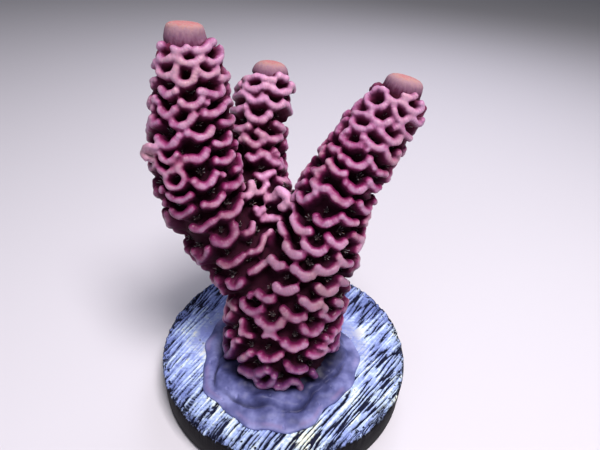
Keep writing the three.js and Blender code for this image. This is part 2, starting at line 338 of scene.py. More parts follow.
seenLips = {
    "left": [
        (8, (164, 43.5), (160, 48)),
        (7, (172.5, 47), (177, 50.5), (184, 50.5), (188.5, 46.5)),
        (8.5, (193.5, 50.5), (201, 50.5), (207, 47), (208.5, 43), (214.5, 42)),
        (7, (206.5, 60), (210, 62.5), (215, 61.5), (219.5, 57), (219.5, 51), (218, 46.5)),
        (7, (161, 55), (162, 59.5), (168, 59.5), (174, 57), (179, 59), (184, 62.5), (191, 63.5),
         (198, 61), (202.5, 57)),
        (7, (161, 59), (157, 63.5), (155, 67)),
        (7, (160, 67), (161, 73), (166, 76), (172, 74.5), (176, 70), (177.5, 66)),
        (7, (177, 72), (175.5, 78), (180, 82.5), (187, 83.5), (193, 80.5), (194.5, 74), (196.5, 70),
         (201, 73.5), (206, 76), (212, 74), (216, 71), (216, 67.5)),
        (7.5, (217.5, 78.5), (223, 78.5), (227.5, 76.5), (227, 73)),
        (6.5, (158.5, 79), (154.5, 81), (155, 86)),
        (7.5, (161.5, 87), (164, 92.5), (167.5, 95.5), (173, 92.5), (178, 90)),
        (7.5, (198, 91), (205, 92), (212, 94.5), (218.5, 94.5), (221.5, 91), (221, 87)),
        (7.5, (180, 100.5), (184, 104.5), (191, 106), (197, 104.5), (201, 100), (202, 96.5)),
        (6, (206, 102), (207.5, 104)),
        (6.5, (157, 96), (156, 100), (161, 102)),
        (8, (160.5, 108), (163.5, 113.5), (168, 115.5), (173, 112.5), (177, 107.5)),
        (8, (202, 112.5), (208, 114.5), (214, 113.5), (220, 110), (223.5, 105.5)),
        (6, (155, 105.5), (154, 110)),
        (6.5, (223, 103), (228, 101), (231, 104.5)),
        (8, (154.5, 116.5), (151.5, 121.5), (155, 124), (161, 121.5)),
        (8, (171.5, 122), (176, 125.5), (183, 125.5), (189, 122.5), (192.5, 117), (195.5, 114)),
        (7, (219, 122.5), (227, 123), (232, 120), (231.5, 116)),
        (8, (186, 132.5), (192, 134.5), (199, 137.5), (206, 136), (210.5, 131), (212, 126.5)),
        (8.5, (157.5, 136), (160, 141.5), (166, 146), (173, 144.5), (177.5, 139), (181, 134.5)),
        (7, (213, 142.5), (219, 144.5), (226, 142.5), (228.5, 137), (227.5, 132)),
        (7, (153, 146.5), (147, 148.5), (144, 153), (144, 158)),
        (7, (152, 149), (155, 152.5), (158.5, 152)),
        (6.5, (161.5, 152), (163.5, 158), (168.5, 161.5), (174, 159), (178.5, 153)),
        (9, (184.5, 159), (192, 158.5), (200, 159.5), (204, 155.5), (207.5, 149)),
        (8, (213.5, 160), (220, 161.5), (227, 160.5), (231, 156.5), (231, 151.5)),
        (6, (151, 162), (152.5, 167.5), (156, 166), (158, 162)),
        (6, (175.5, 169), (182.5, 172.5), (184.5, 179), (181.5, 185.5), (175, 187.5), (169, 184.5),
         (167, 178), (169.5, 172), (175.5, 169)),
        (7, (160, 168.5), (164, 171.5), (170, 174)),
        (7, (182, 163.5), (178, 167), (172, 171.5)),
        (8.5, (193, 179.5), (197.5, 184.5), (204, 186), (210.5, 182.5), (214.5, 176), (216.5, 171.5)),
        (6, (221, 173), (223.5, 176)),
        (8.5, (223.5, 186.5), (230, 186.5), (237, 184), (240, 179.5), (239.5, 175.5)),
        (7, (233, 170.5), (239, 167.5), (245, 163.5), (245.5, 158), (242.5, 154)),
        (6.5, (233, 144), (237.5, 143)),
        (7, (168.5, 192.5), (172, 197.5), (179, 200), (186, 198.5), (192.5, 193.5)),
        (6, (163, 186.5), (162.5, 192)),
        (6, (166, 200), (165.5, 205)),
        (8, (202, 204.5), (209, 205), (216.5, 203), (220, 198.5), (223.5, 194)),
        (7.5, (172.5, 208.5), (174, 213.5), (181, 215.5), (187, 212.5), (194, 207)),
        (6.5, (167.5, 211), (168, 216), (170.5, 220)),
        (9, (220, 215), (228, 215.5), (235, 213), (238.5, 207), (241.5, 201.5)),
        (7.5, (190.5, 226), (197, 230), (203, 228.5), (208.5, 223.5), (215.5, 220)),
        (9.5, (212.5, 237.5), (217, 242.5), (223, 244.5), (230, 241), (234.5, 235), (235.5, 229),
         (233.5, 224.5)),
        (7, (193.5, 249.5), (196.5, 255.5), (201.5, 258.5), (206.5, 254.5), (208.5, 247)),
    ],
    "middle": [
        (6.5, (245, 79.5), (251, 78.5), (256, 76.5), (260, 76.5), (265, 79), (270, 79.5), (275, 81)),
        (7, (277, 75), (282, 77), (287, 79.5)),
        (7, (243, 84), (239, 87), (236, 90.5)),
        (7, (244.5, 86), (250, 89), (256, 89.5), (262, 87), (267, 86.5), (272, 88.5), (277, 92),
         (284, 92), (290, 91)),
        (7, (289, 84), (293, 87.5), (292.5, 92)),
        (7, (233.5, 97.5), (238, 96), (244, 93.5), (248, 97), (253, 101.5), (260, 101), (264.5, 96.5)),
        (7, (264.5, 97), (268, 102.5), (274, 106.5), (280, 106), (284, 101.5)),
        (6.5, (285, 103), (288, 108), (290, 114)),
        (7.5, (231, 110), (237, 110.5), (242, 108.5), (247.5, 106.5)),
        (8, (247, 113), (250.5, 118), (257, 120.5), (263, 120), (267.5, 116.5), (270.5, 113.5)),
        (8, (274.5, 123.5), (280, 127), (284.5, 130)),
        (8, (234, 128), (240, 129.5), (245, 128), (250, 126)),
        (8, (256.5, 131), (262, 135), (268, 139), (274, 140), (282, 137.5)),
        (8, (240, 140.5), (245, 138.5), (250, 143), (256, 145.5), (261, 142.5), (265, 139.5)),
        (7, (274, 149.5), (275, 153), (278, 156)),
        (8, (247, 155), (251.5, 159), (257, 157.5), (261, 154.5), (266, 154), (268.5, 159), (273, 162.5),
         (278.5, 164), (281, 168.5)),
        (8, (254, 175), (259, 177), (264, 178), (268, 174.5), (275, 172)),
        (8, (278, 179), (282, 182), (285.5, 186)),
    ],
    "right": [
        (6, (402.5, 94.5), (407, 97), (412, 97.5), (415.5, 94)),
        (6.5, (386.5, 95), (388.5, 100), (386, 105), (380, 108), (373, 107.5), (367.5, 103), (368, 97),
         (373.5, 93), (378, 89)),
        (6, (377.5, 88.5), (383, 90), (388.5, 92.5)),
        (6, (363, 101), (358, 106), (354, 111)),
        (6.5, (389, 98), (394, 102.5), (400, 102), (404, 104.5), (408, 109), (414, 112), (419.5, 109),
         (421, 105), (418.5, 101.5)),
        (6, (393, 104), (394, 111), (396.5, 117), (401, 122)),
        (6, (401, 122), (405, 119.5), (408.5, 117.5), (412.5, 119), (416, 122.5), (420, 123),
         (421.5, 118)),
        (7, (353.5, 113.5), (360, 114.5), (366, 115), (371.5, 118), (377, 122.5), (383, 124.5),
         (391, 120.5)),
        (5.5, (371, 116), (373, 111.5)),
        (7, (352.5, 119.5), (353, 124), (358, 128.5), (365, 129.5), (371, 127.5), (375.5, 124.5)),
        (6.5, (349, 119.5), (344.5, 122), (342, 125)),
        (7, (342, 127.5), (338, 130), (339, 134)),
        (6, (393.5, 128.5), (397, 126.5), (400.5, 126)),
        (6, (400.5, 123), (401.5, 129), (404, 133.5), (410, 138.5)),
        (7.5, (350.5, 131), (345, 133.5), (342.5, 138), (346, 143), (352, 146), (362.5, 146)),
        (7.5, (378, 129), (383, 134.5), (388, 140), (393, 142.5), (398, 140.5), (400, 135.5)),
        (7.5, (361.5, 137), (366, 139.5), (370, 144.5), (376, 148), (384, 148.5), (386, 153), (388, 159),
         (392.5, 161.5), (396.5, 158), (398, 151)),
        (6, (366, 149.5), (368, 150.5)),
        (6.5, (334.5, 134), (331.5, 137.5), (330, 141)),
        (8.5, (329.5, 145.5), (333, 149.5), (339.5, 151)),
        (8.5, (321, 154.5), (323, 156)),
        (8, (339.5, 156.5), (346, 159), (350.5, 164), (357, 166.5), (364, 165), (368, 161.5),
         (370.5, 157.5)),
        (8, (328.5, 160), (331.5, 166), (336, 171.5), (341, 174), (347, 173.5)),
        (9, (312.5, 170), (318.5, 172), (324.5, 168.5)),
        (7, (318.5, 172), (318, 178)),
        (6.5, (371.5, 163), (374.5, 169.5)),
        (7, (376, 171.5), (381, 173), (386.5, 174)),
        (8.5, (344.5, 181.5), (349.5, 186), (354, 190.5), (359, 190), (365, 186.5)),
        (7.5, (367.5, 179), (370.5, 184.5), (375, 189), (380, 186.5)),
        (7, (296.5, 187.5), (302, 184), (307, 181.5)),
        (9.5, (312, 180.5), (316, 186), (322.5, 189), (328.5, 189.5), (333, 195), (338, 200),
         (345, 203.5), (351.5, 200.5)),
        (8.5, (299, 193), (300, 198.5), (304.5, 202), (309, 198.5), (314, 195), (318, 192)),
        (7.5, (358.5, 201.5), (361, 207.5), (366, 211.5), (370, 207)),
        (6, (373, 199.5), (375, 203)),
    ],
    "trunk": [
        (8, (241, 195.5), (246, 196.5), (250.5, 193.5), (252, 189), (249.5, 181)),
        (6.5, (252, 190), (256, 193), (262, 191), (265.5, 186.5), (268.5, 183.5)),
        (8.5, (265, 200), (271, 198), (277, 197.5), (281, 192.5), (285.5, 189.5), (291.5, 194)),
        (8, (288.5, 199), (291, 203.5), (295, 208)),
        (9, (280, 207.5), (286.5, 206.5)),
        (7, (254, 208), (259, 210.5), (264.5, 209)),
        (6.5, (258.5, 211), (257.5, 216)),
        (7.5, (244, 233), (249, 233.5), (252.5, 228.5), (252.5, 222)),
        (8, (218.5, 261), (223.5, 265), (230, 265), (237, 261), (244.5, 254.5)),
        (7, (249, 251.5), (255, 252), (260, 248.5), (262.5, 243), (264, 236.5), (269, 234.5),
         (274, 231.5)),
        (9.5, (295, 214.5), (294, 220.5), (297, 227), (302, 231.5), (312, 231)),
        (9, (315.5, 215), (317, 220), (322.5, 224), (330, 222.5), (337, 219.5)),
        (8, (340.5, 214.5), (345, 219.5), (350.5, 223), (357.5, 222.5)),
        (7, (363, 220), (365.5, 225)),
        (9, (326.5, 234.5), (329.5, 239.5), (334, 244), (340, 245.5), (345.5, 240.5)),
        (8, (352, 234), (357, 238), (362, 240.5), (365, 236)),
        (8, (361, 241), (357.5, 246.5), (354.5, 251.5)),
        (9, (303, 241), (306.5, 246.5), (311.5, 250.5), (319, 252.5), (325.5, 248.5)),
        (9.5, (286, 242.5), (288.5, 249), (293, 254), (303.5, 256)),
        (8, (261, 220), (270, 218.5), (280.5, 219)),
        (8, (280.5, 223.5), (282, 229.5), (286, 235.5)),
        (8, (337.5, 255), (340, 260.5), (345, 264.5), (351.5, 262.5)),
        (8.5, (316.5, 265.5), (320, 270), (327, 271.5), (336, 266.5)),
        (10, (271, 257), (273, 262), (278, 266), (284.5, 265.5)),
        (10, (292.5, 267), (298, 271.5), (304.5, 276.5), (313.5, 274.5)),
        (8.5, (249, 273), (255.5, 270), (261, 266), (265.5, 262.5)),
        (8.5, (227.5, 280.5), (231.5, 286), (238, 286.5), (243, 280)),
        (9, (257, 291), (260.5, 296), (266, 299.5), (274.5, 299)),
        (6, (251, 292), (249.5, 297.5)),
        (9.5, (275.5, 284), (279, 289), (286, 291), (297.5, 287.5)),
        (8.5, (242.5, 299.5), (243.5, 305.5), (248, 311), (255, 312.5), (263, 309)),
        (9, (281.5, 308), (286.5, 313.5), (292, 318.5), (299, 319), (306, 316.5)),
        (9.5, (300.5, 298.5), (305.5, 302), (310.5, 306), (316, 305.5), (321, 301.5)),
        (6, (232.5, 307), (238, 309.5)),
        (9, (317, 285), (320.5, 289.5), (326.5, 292.5), (335.5, 287.5)),
        (8, (338.5, 277), (341.5, 281), (346, 283)),
        (8, (333, 300), (336, 301.5), (341, 304)),
        (7, (319, 315), (323, 313.5), (327, 318.5), (331.5, 318.5), (335, 313.5), (338.5, 311.5)),
        (6, (324, 304), (324, 309)),
        (9, (302, 326), (305, 331), (311, 333.5), (317.5, 331), (321, 325.5)),
        (9.5, (257, 319.5), (262.5, 324), (268, 328), (275, 327.5), (280.5, 324), (283, 319.5)),
        (6, (263, 336), (268, 334), (273, 335), (277.5, 338)),
        (7, (324, 336), (327.5, 340), (332, 339.5)),
        (10, (283, 341), (287.5, 346.5), (294, 348.5), (300, 346.5), (306.5, 342.5)),
        (7, (243, 319), (242.5, 327), (242, 335)),
        (7, (241, 340), (235, 341), (233.5, 347.5), (230, 354), (225, 357)),
        (8, (226, 335), (231, 333.5)),
        (6, (246, 334), (253, 336)),
        (8, (239, 360), (244, 357.5), (248, 354.5), (252.5, 352)),
        (8, (259.5, 353), (263, 358.5), (270, 359.5), (276, 357.5), (282, 353.5)),
        (8, (286, 363), (289.5, 368), (295, 371), (301, 370.5), (307, 368.5)),
        (8, (307, 353.5), (313, 355.5), (320, 354.5), (325, 350)),
        (5.5, (316, 346), (323, 347.5), (329, 350.5)),
        (10, (239, 369), (245, 372.5), (251, 375), (258, 374), (264, 371.5), (269, 369.5)),
        (7, (274.5, 374.5), (273.5, 380), (268.5, 385), (262, 386), (257, 382.5), (256.5, 377)),
        (7, (275.5, 386.5), (282, 387.5), (287.5, 384), (292, 381), (298, 383), (301, 389)),
        (7, (311.5, 371), (316, 377)),
    ],
}
proudLips = {"left": [(7, (152, 145), (146.5, 148), (144.5, 153), (148, 159))]}        # stands out most
lowTissue = {        # fills between the lips along the outline
    "left": [(8, (225.5, 106), (226, 116))],
    "middle": [(6, (286, 114), (287, 121))],
    "right": [(7, (402, 139), (404, 146)), (8, (364, 190), (368, 197))],
    "trunk": [(8, (347, 268), (350, 275)), (8, (348, 283), (351, 291))],
}

# How far lips stand out of the core, how deep a ray sinks into them, steps between two bends, what smoothing
# takes off, how uneven a bar is and how far its line stops short of its ends, in shares of its thickness
rim = {"reach": 1.0, "proudReach": 1.8, "lowReach": 0.6, "sink": 0.35, "bends": 4, "fuller": 1.13,
       "uneven": 0.1, "wave": 0.9, "waveShift": 40, "drawnIn": 0.16, "mostDrawnIn": 0.4, "rounding": 3}


def smoothLine(points):        # more points along a bent line, through every given one
    points = [np.array(p, float) for p in points]
    ends = [2 * points[0] - points[1], *points, 2 * points[-1] - points[-2]]
    line = []
    for i in range(len(points) - 1):
        line += [bend(*ends[i:i + 4], t) for t in np.arange(rim["bends"]) / rim["bends"]]
    return [*line, points[-1]]


def drawnIn(end, inner, thick):
    share = rim["drawnIn"] * thick / math.dist(end, inner)
    return Vector(end).lerp(Vector(inner), min(rim["mostDrawnIn"], share))


def seenBar(names, reach, thick, bends):
    bends = [drawnIn(bends[0], bends[1], thick), *bends[1:-1], drawnIn(bends[-1], bends[-2], thick)]
    spots = [castOn(names, x, y, reach - rim["sink"]) for x, y in bends]
    depth = np.mean([(spot - eyePlace).dot(ahead) for spot in spots])
    girth = 0.5 * rim["fuller"] * thick * depth / focal
    line = [settle(names, Vector(p), reach - girth) for p in smoothLine(spots)]
    return {"line": line, "girth": girth, "reach": reach}


bars = []
for table, reach in ((seenLips, "reach"), (proudLips, "proudReach"), (lowTissue, "lowReach")):
    for name, lips in table.items():
        names = tuple(spines) if name == "trunk" else (name,)
        bars += [seenBar(names, rim[reach], lip[0], lip[1:]) for lip in lips]
print("lips seen in the picture:", len(bars))


# The lips on the far sides: staggered rows of the same cups, where the picture doesn't reach

growth = {
    "slimCore": 2.1, "slimRow": 1.05, "stoutCore": 4.9, "stoutRow": 1.55, "lowestRow": 0.4, "lowest": 5.0,
    "fill": 1.0, "narrowest": 1.5, "widest": 2.9, "widthSway": 0.25, "sway": 0.35, "lift": 0.4,
    "underCap": 0.7, "apart": 0.8, "between": 1.0, "apartStout": 0.12, "buried": 0.1, "midHeight": 0.6,
    "footHeight": 0.5, "lowRim": 0.55, "lowRimEnd": 4.0, "shifts": (0, 0.4, 0.75),
}
cup = {"thick": 0.43, "thickShare": 0.19, "spread": 70, "spreadSway": 0.3, "roll": 30, "points": 6,
       "drop": 0.6}
shown = {"facing": 0.24, "from": 0.05, "to": 0.5, "steps": 40}        # along the way to the eye


def shownInPicture(place, outward):
    toEye = eyePlace - place
    if outward.dot(toEye.normalized()) < shown["facing"]:
        return False
    shares = np.linspace(shown["from"], shown["to"], shown["steps"])
    return not any(nearestCore(spines, place + toEye * share)[0] < 0 for share in shares)


def cupBar(branch, travel, turn, width, seed):        # bent around the branch and open towards its tip
    girth = min(cup["thick"], cup["thickShare"] * width)
    bow = 0.5 * width - girth
    lean = math.radians(cup["roll"] * uneven(seed + 0.9))
    points = []
    for angle in np.linspace(-cup["spread"], cup["spread"], cup["points"]):
        swing = math.radians(angle * (1 + cup["spreadSway"] * uneven(seed + 0.1)))
        sideways, rise = bow * math.sin(swing), bow * (cup["drop"] - math.cos(swing))
        sideways, rise = (sideways * math.cos(lean) - rise * math.sin(lean),
                          sideways * math.sin(lean) + rise * math.cos(lean))
        here = stationAt(branch["spine"], travel + rise)
        around = turn + sideways / (here["radius"] + growth["midHeight"])
        outward = here["front"] * math.cos(around) + here["side"] * math.sin(around)
        points.append(here["centre"] + outward * (here["radius"] + rim["reach"] - girth))
    return [Vector(p) for p in smoothLine(points)], girth


def growCups(name, branch, shift, apart):
    spine = branch["spine"]
    travel = spine["capStart"] - growth["underCap"] - shift
    others = [other for other in spines if other != name]
    grown, row = 0, 0
    while travel > growth["lowestRow"]:
        here = stationAt(spine, travel)
        share = (here["radius"] - growth["slimCore"]) / (growth["stoutCore"] - growth["slimCore"])
        share = min(1, max(0, share))
        rowHeight = growth["slimRow"] + (growth["stoutRow"] - growth["slimRow"]) * share
        count = branch["fingerLips"] if travel > branch["forkTravel"] else branch["rootLips"]
        pitch = 2 * math.pi * (here["radius"] + growth["midHeight"]) / count
        for k in range(count):
            seed = branch["seed"] + 37 * row + k + 5 * shift
            turn = 2 * math.pi * (k + shift + 0.5 * (row % 2) + growth["sway"] * uneven(seed)) / count
            height = travel + growth["lift"] * rowHeight * uneven(seed + 0.2)
            place = stationAt(spine, height)
            outward = place["front"] * math.cos(turn) + place["side"] * math.sin(turn)
            foot = place["centre"] + outward * (place["radius"] + growth["footHeight"])
            near = min((foot - spot["place"]).length for bar in bars for spot in bar["line"])
            if (foot.z < growth["lowest"] or near < apart + growth["apartStout"] * share
                    or nearestCore(others, foot)[0] < growth["buried"] or shownInPicture(foot, outward)):
                continue
            width = min(growth["widest"], max(growth["narrowest"], growth["fill"] * pitch))
            width *= 1 + growth["widthSway"] * uneven(seed + 0.4)
            points, girth = cupBar(branch, height, turn, width, seed)
            young = max(0, 1 - (spine["capStart"] - height) / growth["lowRimEnd"])        # lower rims there
            reach = rim["reach"] * (1 - (1 - growth["lowRim"]) * young)
            line = [settle((name,), p, reach - girth) for p in points]
            bars.append({"line": line, "girth": girth, "reach": reach})
            grown += 1
        travel -= rowHeight
        row += 1
    return grown


for name, branch in branches.items():        # rows first, then what still fits between them
    counts = [growCups(name, branch, shift, growth["between" if shift else "apart"])
              for shift in growth["shifts"]]
    print(name, "cups grown on the far side:", *counts)


# The branches: a bare core with a smooth tip, and lips as round bars with a wall under each

core = {"sink": 0.3, "step": 0.35, "easeUnderCap": 1.2, "gapUnderCap": 0.05, "overlap": 0.5, "webStep": 8,
        "rounding": 14}
wallLayers = ((0.0, 0.0, 1.0), (0.33, 0.2, 0.96), (0.66, 0.46, 0.94), (0.98, 0.74, 0.96),
              (1.3, 1.0, 1.0))        # how far inwards, how far rootwards and the share of the girth
roundEnd = ((0.3, 0.93), (0.55, 0.74), (0.74, 0.42))        # how a bar's end closes, in shares of its girth


def drawTubes(name, tubes, rounding):        # round bars along lines of place and radius
    letGo()
    bpy.ops.curve.primitive_nurbs_path_add()
    path = bpy.context.object
    path.data.splines.clear()
    for tube in tubes:
        line = path.data.splines.new("POLY")
        line.points.add(len(tube) - 1)
        for point, (place, radius) in zip(line.points, tube):
            point.co = (*place, 1)
            point.radius = radius
    path.data.bevel_depth = 1
    path.data.bevel_resolution = rounding
    path.data.use_fill_caps = True
    bpy.ops.object.convert(target="MESH")
    return newPiece(name)


def coreTube(branch, start, end, capped):
    spine = branch["spine"]
    tube = []
    for travel in np.arange(start, min(end, spine["capStart"] - core["gapUnderCap"]), core["step"]):
        here = stationAt(spine, travel)
        sink = core["sink"] * min(1, (spine["capStart"] - travel) / core["easeUnderCap"])
        tube.append((here["centre"], here["radius"] - sink))
    if capped:
        aside = Vector((branch["capShift"], 0, 0))
        for up, wide in branch["cap"]:
            travel = spine["capStart"] + up * (end - spine["capStart"])
            tube.append((stationAt(spine, travel)["centre"] + aside, wide * spine["capRadius"]))
    return tube


def barTubes(bar):        # the lip's round rim and the wall that carries it, down into the core
    tubes = []
    for drop, lean, girth in wallLayers:
        radius = bar["girth"] * girth
        spots = [spot["place"] - spot["outward"] * drop - spot["along"] * lean for spot in bar["line"]]
        first, last = (spots[0] - spots[1]).normalized(), (spots[-1] - spots[-2]).normalized()
        head = [(spots[0] + first * radius * out, radius * wide) for out, wide in reversed(roundEnd)]
        tail = [(spots[-1] + last * radius * out, radius * wide) for out, wide in roundEnd]
        start = rim["waveShift"] * bar["girth"]
        swell = [1 + rim["uneven"] * math.sin(rim["wave"] * i + start) for i in range(len(spots))]
        tubes.append([*head, *((spot, radius * more) for spot, more in zip(spots, swell)), *tail])
    return tubes


def pieceOf(bar):        # the node a lip belongs to: its finger, or the trunk below the fork
    middle = bar["line"][len(bar["line"]) // 2]
    name = middle["branch"]
    return name if name in branches and middle["travel"] > branches[name]["forkTravel"] else "trunk"


def tubesOf(name):
    return [tube for bar in bars if pieceOf(bar) == name for tube in barTubes(bar)]


fusing = {"fingers": 0.115, "trunk": 0.163, "smooth": 0.5, "rounds": 2, "grain": 0.035,
          "grainNoise": (0.35, 1.0), "bareFrom": -0.2, "bareTo": 0.05}        # no grain on smooth tips


def growTogether(piece, voxel):
    addModifier(piece, "REMESH", mode="VOXEL", voxel_size=voxel)
    bpy.ops.object.mode_set(mode="EDIT")        # what the skin encloses is taken out
    bpy.ops.mesh.select_mode(type="VERT")
    bpy.ops.mesh.select_all(action="DESELECT")
    shape = bmesh.from_edit_mesh(piece.data)
    max(shape.verts, key=lambda vertex: vertex.co.z).select_set(True)
    bmesh.update_edit_mesh(piece.data)
    bpy.ops.mesh.select_linked()
    bpy.ops.mesh.select_all(action="INVERT")
    bpy.ops.mesh.delete(type="VERT")
    letGo()
    addModifier(piece, "SMOOTH", factor=fusing["smooth"], iterations=fusing["rounds"])
    places = verticesOf(piece)
    grain = fusing["grain"] * cloud(places, *fusing["grainNoise"])
    grain *= 1 - easeIn(fusing["bareFrom"], fusing["bareTo"], tipShare(places))
    moveVertices(piece, places + grain[:, None] * verticesOf(piece, "normal"))


# Where the tissue changes below a tip, and where light and shade are painted on: painted shade under a lip,
# on a band of the trunk and at the foot, painted light in the fork
# Places and bands are in millimetres, and the rest are shares
ages = {"tipWidth": 1.3, "youngFrom": 1.5, "youngTo": 8.0, "under": 0.8, "trunkShadeFrom": (9.0, 13.0),
        "trunkShadeTo": (18.0, 21.5), "trunkShadeLean": 0.4, "trunkShade": 0.76, "foot": (6.0, 10.0),
        "fork": (-2.0, 2.0, 20.5), "forkReach": (2.0, 5.0), "forkLight": 0.65}


def tipShare(places):        # how far up a smooth tip places lie, from 0 to 1, and -1 away from the tips
    tip = np.full(len(places), -1.0)
    for each in branches.values():
        spine = each["spine"]
        base, top = (np.array(stationAt(spine, travel)["centre"])
                     for travel in (spine["capStart"], each["tipTravel"]))
        share = (places - base) @ (top - base) / ((top - base) @ (top - base))
        offAxis = np.linalg.norm(places - base - share[:, None] * (top - base), axis=1)
        isTip = (offAxis < ages["tipWidth"] * spine["capRadius"]) & (share > -1) & (share < 2)
        tip = np.where(isTip, np.maximum(tip, share), tip)
    return tip


def youth(places):        # 1 at a smooth tip, less below it
    young = np.zeros(len(places))
    for each in branches.values():
        base = np.array(stationAt(each["spine"], each["spine"]["capStart"])["centre"])
        below = np.linalg.norm(places - base, axis=1)
        young = np.maximum(young, 1 - easeIn(ages["youngFrom"], ages["youngTo"], below))
    return young


crests = []        # every step of every lip: its place, its heading and how far along the lip it is
for bar in bars:
    line = [spot["place"] for spot in bar["line"]]
    travel = 0
    for before, place, after in zip([line[0], *line], line, [*line[1:], line[-1]]):
        travel += (place - before).length
        crests.append((*place, *(after - before).normalized(), travel))
crests = np.array(crests)
tipwards = np.array([spot["along"] for bar in bars for spot in bar["line"]])
crestTree = KDTree(len(crests))
for i, crest in enumerate(crests):
    crestTree.insert(crest[:3], i)
crestTree.balance()


def paintTissue(piece, paler):        # what the tissue's colours follow
    places = verticesOf(piece)
    high, young = places[:, 2], youth(places)
    # painted light in the fork, and painted shade on a band of the trunk that the branches shade
    inFork = 1 - easeIn(*ages["forkReach"], np.linalg.norm(places - np.array(ages["fork"]), axis=1))
    trunkShade = easeIn(*ages["trunkShadeFrom"], high) * (1 - inFork)
    trunkShade *= 1 - easeIn(*ages["trunkShadeTo"], high + ages["trunkShadeLean"] * places[:, 0])
    nearest = np.array([crestTree.find(place)[1] for place in places])
    at, heading, travel = crests[nearest, :3], crests[nearest, 3:6], crests[nearest, 6]
    facing = (verticesOf(piece, "normal") * tipwards[nearest]).sum(1)
    paint(piece, "rise", np.min([outsideCore(spine, places) for spine in spines.values()], axis=0))
    paint(piece, "tip", tipShare(places))
    paint(piece, "young", young)
    # painted light: paler rims near the tips of dim branches and in the fork
    paint(piece, "pale", np.maximum(paler * young, ages["forkLight"] * inFork))
    paint(piece, "along", travel + ((places - at) * heading).sum(1))
    # painted shade: lip undersides, which face away from the tip
    paint(piece, "under", easeIn(0.0, ages["under"], -facing))
    # painted shade on a band of the trunk
    paint(piece, "trunkShade", ages["trunkShade"] * trunkShade)
    # painted shade at the foot, tinted lavender
    paint(piece, "foot", 1 - easeIn(*ages["foot"], high))


coralPieces = {}
trunkTubes = []
for name, branch in branches.items():
    fork, overlap = branch["forkTravel"], core["overlap"]
    finger = drawTubes(name, [coreTube(branch, fork - overlap, branch["tipTravel"], True)], core["rounding"])
    coralPieces[name] = joined(finger, drawTubes("bars", tubesOf(name), rim["rounding"]))
    trunkTubes.append(coreTube(branch, 0, fork + overlap, False))
for name in webs:
    centres, girths = (spines[name][key][::core["webStep"]] for key in ("centre", "radius"))
    trunkTubes.append([(place, girth - core["sink"]) for place, girth in zip(centres, girths)])
coralPieces["trunk"] = joined(drawTubes("trunk", trunkTubes, core["rounding"]),
                              drawTubes("bars", tubesOf("trunk"), rim["rounding"]))
for name, piece in coralPieces.items():
    growTogether(piece, fusing["trunk"] if name == "trunk" else fusing["fingers"])
    paintTissue(piece, branches[name]["paler"] if name in branches else 0)
    print(name, "grown together:", len(piece.data.polygons), "faces")


# Coral tissue: a moist skin over the skeleton, pink on the lips and almost black between them, which is the
# tissue's dark colour and painted shade together

tissueSizes = {"mottle": 1.1111, "warmth": 3.0303, "stripe": 0.2, "stripeLength": 2.381, "grain": 0.2,
               "rib": 0.22, "relief": 0.07}        # in millimetres
tissue, tree, shader = newMaterial("coral_tissue_moist")
rise, tip, young, pale, along, under, trunkShade, foot = (
    addNode(tree, "ShaderNodeAttribute", attribute_name=name)
    for name in ("rise", "tip", "young", "pale", "along", "under", "trunkShade", "foot"))
spot = addNode(tree, "ShaderNodeTexCoord")
mottle, warmth, grain = (
    addNode(tree, "ShaderNodeTexNoise",
            {"Vector": spot, "Scale": perMetre(tissueSizes[name]), "Detail": detail})
    for name, detail in (("mottle", 3), ("warmth", 2), ("grain", 2)))
shift = addNode(tree, "ShaderNodeMapRange", {"Value": mottle, "To Min": -0.14, "To Max": 0.14})
# painted shade: undersides count lower, so the ramp below shades them darker
raised = addNode(tree, "ShaderNodeMath", {0: under, 1: -0.16, 2: rise}, operation="MULTIPLY_ADD")
lifted = addNode(tree, "ShaderNodeMath", {0: raised, 1: shift}, operation="ADD")
height = addNode(tree, "ShaderNodeMapRange", {"Value": lifted, "From Min": -0.35, "From Max": 1.0})
# near black in the recesses, dark flanks and a pink crest: dark tissue and painted shade together
lipColour = addNode(tree, "ShaderNodeValToRGB", {"Fac": height})
setStops(lipColour, [(0.1, "#2e041a"), (0.42, "#3e0729"), (0.62, "#4e0a32"), (0.76, "#5f113e"),
                     (0.86, "#7c2658"), (0.93, "#9a4d7d"), (1.0, "#b888a9")])
youngColour = addNode(tree, "ShaderNodeValToRGB", {"Fac": height})
setStops(youngColour, [(0.2, "#4c152b"), (0.6, "#6a2644"), (0.8, "#884a70"), (0.92, "#a26a92"),
                       (1.0, "#b98cac")])
fresh = addNode(tree, "ShaderNodeMath", {0: young, 1: 0.72}, operation="MULTIPLY")
skin = addNode(tree, "ShaderNodeMix", {"Factor": fresh, 6: lipColour, 7: youngColour}, data_type="RGBA")
onRims = addNode(tree, "ShaderNodeMapRange", {"Value": height, "From Min": 0.7, "From Max": 1.0})
# painted light: paler rims on dim branches and in the fork
paintedLightShare = addNode(tree, "ShaderNodeMath", {0: pale, 1: height}, operation="MULTIPLY")
warm = addNode(tree, "ShaderNodeMapRange",
               {"Value": warmth, "From Min": 0.45, "From Max": 0.68, "To Max": 0.55})
onCrest = addNode(tree, "ShaderNodeMapRange", {"Value": height, "From Min": 0.8, "From Max": 1.0})
for amount, where, code in ((paintedLightShare, onRims, "#dba4cb"),        # paler rims
                            (warm, onCrest, "#bd9496")):        # tanned crests
    share = addNode(tree, "ShaderNodeMath", {0: amount, 1: where}, operation="MULTIPLY")
    skin = addNode(tree, "ShaderNodeMix", {"Factor": share, 6: skin, 7: toLinear(code)}, data_type="RGBA")
stripeScale = (*[perMetre(tissueSizes["stripe"])] * 2, perMetre(tissueSizes["stripeLength"]))
upright = addNode(tree, "ShaderNodeMapping", {"Vector": spot, "Scale": stripeScale})
striped = addNode(tree, "ShaderNodeTexNoise", {"Vector": upright, "Scale": 1, "Detail": 2})
